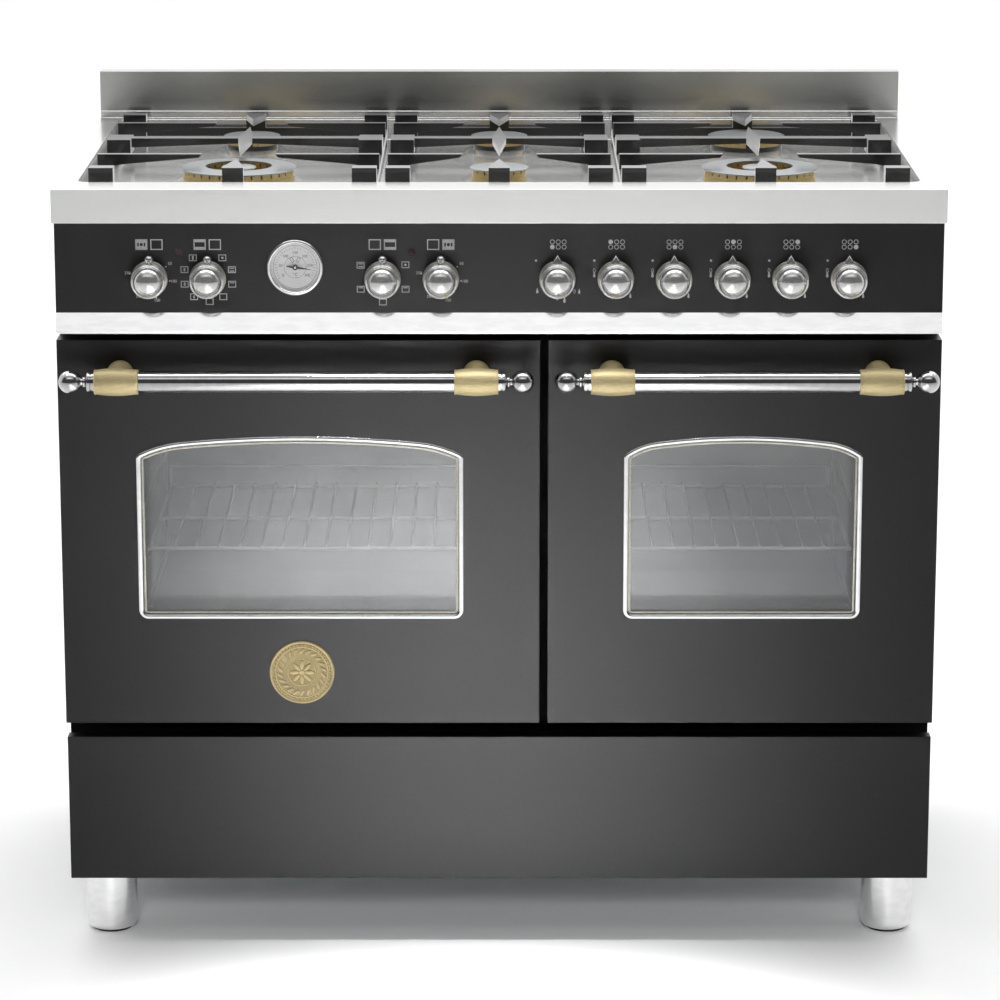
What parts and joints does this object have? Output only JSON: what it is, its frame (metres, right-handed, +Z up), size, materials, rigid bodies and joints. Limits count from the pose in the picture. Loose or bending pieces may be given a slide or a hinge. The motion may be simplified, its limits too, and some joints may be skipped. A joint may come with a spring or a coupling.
{
  "type": "range cooker",
  "caption": "Free-standing gas range cooker: worktop with burners and cast pan supports, turned knobs, ovens with arched windows and bar handles, storage drawer, round feet.",
  "frame": {"origin": "on the floor under the centre of the outer box", "axes": "+Z up, front faces -Y, +X to the viewer's right"},
  "size_m": [1, 0.6654, 0.944],
  "materials": {
    "satin_black": "satin",
    "satin_steel": "satin",
    "polished_steel": "polished",
    "chrome": "polished",
    "satin_brass": "satin",
    "burner_brass": "satin",
    "cast_iron": "matte",
    "burner_enamel": "satin",
    "cap_enamel": "satin",
    "oven_enamel": "gloss",
    "galvanised_steel": "satin",
    "mineral_wool": "matte",
    "seal_rubber": "matte",
    "element_steel": "satin",
    "oven_glass": "gloss",
    "dial_glass": "gloss",
    "black_plastic": "matte",
    "needle_black": "satin",
    "lamp_lens": "gloss"
  },
  "bodies": {
    "body": {"side_panels": "satin_black", "back_panel": "galvanised_steel", "base_frame": "galvanised_steel", "front_frame": "satin_black", "hob_top": "satin_steel", "backguard": "satin_steel", "control_panel": "satin_black", "fascia_trim": "polished_steel", "left_oven_cavity": "oven_enamel", "right_oven_cavity": "oven_enamel", "oven_insulation": "mineral_wool", "rack_guides": "chrome", "oven_racks": "chrome", "door_seals": "seal_rubber", "burner_bases": "burner_enamel", "burner_crowns": "burner_brass", "burner_caps": "cap_enamel", "gas_manifold": "satin_steel", "gas_valves": "burner_brass", "oven_switches": "black_plastic", "heating_elements": "element_steel", "fan_housing": "oven_enamel", "thermometer_case": "polished_steel", "thermometer_glass": "dial_glass", "indicator_lamps": "lamp_lens", "feet": "chrome", "foot_pads": "seal_rubber", "drawer_rails": "galvanised_steel", "hinge_brackets": "galvanised_steel", "terminal_box": "black_plastic"},
    "left_door": {"left_door_skin": "satin_black", "left_door_frame": "oven_enamel", "left_door_glass": "oven_glass", "left_window_trim": "polished_steel", "left_handle_bar": "chrome", "left_handle_brackets": "satin_brass", "door_medallion": "satin_brass"},
    "right_door": {"right_door_skin": "satin_black", "right_door_frame": "oven_enamel", "right_door_glass": "oven_glass", "right_window_trim": "polished_steel", "right_handle_bar": "chrome", "right_handle_brackets": "satin_brass"},
    "drawer": {"drawer_front": "satin_black", "drawer_box": "galvanised_steel"},
    "oven_fan": {"fan_blade": "galvanised_steel"},
    "needle": {"thermometer_needle": "needle_black"},
    "left_thermostat_knob": {"left_thermostat_knob": "chrome"},
    "left_function_knob": {"left_function_knob": "chrome"},
    "right_function_knob": {"right_function_knob": "chrome"},
    "right_thermostat_knob": {"right_thermostat_knob": "chrome"},
    "front_left_burner_knob": {"front_left_burner_knob": "chrome"},
    "rear_left_burner_knob": {"rear_left_burner_knob": "chrome"},
    "front_centre_burner_knob": {"front_centre_burner_knob": "chrome"},
    "rear_centre_burner_knob": {"rear_centre_burner_knob": "chrome"},
    "rear_right_burner_knob": {"rear_right_burner_knob": "chrome"},
    "front_right_burner_knob": {"front_right_burner_knob": "chrome"},
    "left_pan_support": {"left_pan_support": "cast_iron"},
    "centre_pan_support": {"centre_pan_support": "cast_iron"},
    "right_pan_support": {"right_pan_support": "cast_iron"}
  },
  "joints": [
    {"name": "left_door_hinge", "type": "hinge", "parent": "body", "child": "left_door", "pos_m": [-0.2257, -0.24225, 0.2792], "axis": [1, 0, 0], "range_deg": [0, 90], "stiffness_Nm_per_rad": 6, "springref_deg": -20.05},
    {"name": "right_door_hinge", "type": "hinge", "parent": "body", "child": "right_door", "pos_m": [0.2763, -0.24225, 0.2792], "axis": [1, 0, 0], "range_deg": [0, 90], "stiffness_Nm_per_rad": 6, "springref_deg": -20.05},
    {"name": "drawer_slide", "type": "slide", "parent": "body", "child": "drawer", "axis": [0, -1, 0], "range_m": [0, 0.33]},
    {"name": "front_left_burner_knob_turn", "type": "hinge", "parent": "body", "child": "front_left_burner_knob", "pos_m": [0.0652, -0.26625, 0.7852], "axis": [0, -1, 0], "range_deg": [0, 240]},
    {"name": "rear_left_burner_knob_turn", "type": "hinge", "parent": "body", "child": "rear_left_burner_knob", "pos_m": [0.1304, -0.26625, 0.7852], "axis": [0, -1, 0], "range_deg": [0, 215]},
    {"name": "front_centre_burner_knob_turn", "type": "hinge", "parent": "body", "child": "front_centre_burner_knob", "pos_m": [0.1956, -0.26625, 0.7852], "axis": [0, -1, 0], "range_deg": [0, 215]},
    {"name": "rear_centre_burner_knob_turn", "type": "hinge", "parent": "body", "child": "rear_centre_burner_knob", "pos_m": [0.2608, -0.26625, 0.7852], "axis": [0, -1, 0], "range_deg": [0, 215]},
    {"name": "rear_right_burner_knob_turn", "type": "hinge", "parent": "body", "child": "rear_right_burner_knob", "pos_m": [0.326, -0.26625, 0.7852], "axis": [0, -1, 0], "range_deg": [0, 215]},
    {"name": "front_right_burner_knob_turn", "type": "hinge", "parent": "body", "child": "front_right_burner_knob", "pos_m": [0.3912, -0.26625, 0.7852], "axis": [0, -1, 0], "range_deg": [0, 215]},
    {"name": "left_thermostat_knob_turn", "type": "hinge", "parent": "body", "child": "left_thermostat_knob", "pos_m": [-0.3912, -0.26625, 0.7852], "axis": [0, 1, 0], "range_deg": [0, 290]},
    {"name": "left_function_knob_turn", "type": "hinge", "parent": "body", "child": "left_function_knob", "pos_m": [-0.326, -0.26625, 0.7852], "axis": [0, 1, 0], "range_deg": [0, 324]},
    {"name": "right_function_knob_turn", "type": "hinge", "parent": "body", "child": "right_function_knob", "pos_m": [-0.1304, -0.26625, 0.7852], "axis": [0, 1, 0], "range_deg": [0, 300]},
    {"name": "right_thermostat_knob_turn", "type": "hinge", "parent": "body", "child": "right_thermostat_knob", "pos_m": [-0.0652, -0.26625, 0.7852], "axis": [0, 1, 0], "range_deg": [0, 290]},
    {"name": "left_pan_support_lift", "type": "slide", "parent": "body", "child": "left_pan_support", "axis": [0, 0, 1], "range_m": [0, 0.06]},
    {"name": "centre_pan_support_lift", "type": "slide", "parent": "body", "child": "centre_pan_support", "axis": [0, 0, 1], "range_m": [0, 0.06]},
    {"name": "right_pan_support_lift", "type": "slide", "parent": "body", "child": "right_pan_support", "axis": [0, 0, 1], "range_m": [0, 0.06]},
    {"name": "fan_spin", "type": "hinge", "parent": "body", "child": "oven_fan", "pos_m": [-0.2257, 0.20275, 0.4902], "axis": [0, 1, 0], "continuous": true},
    {"name": "needle_swing", "type": "hinge", "parent": "body", "child": "needle", "pos_m": [-0.2282, -0.26625, 0.798], "axis": [0, 1, 0], "range_deg": [0, 240]}
  ]
}
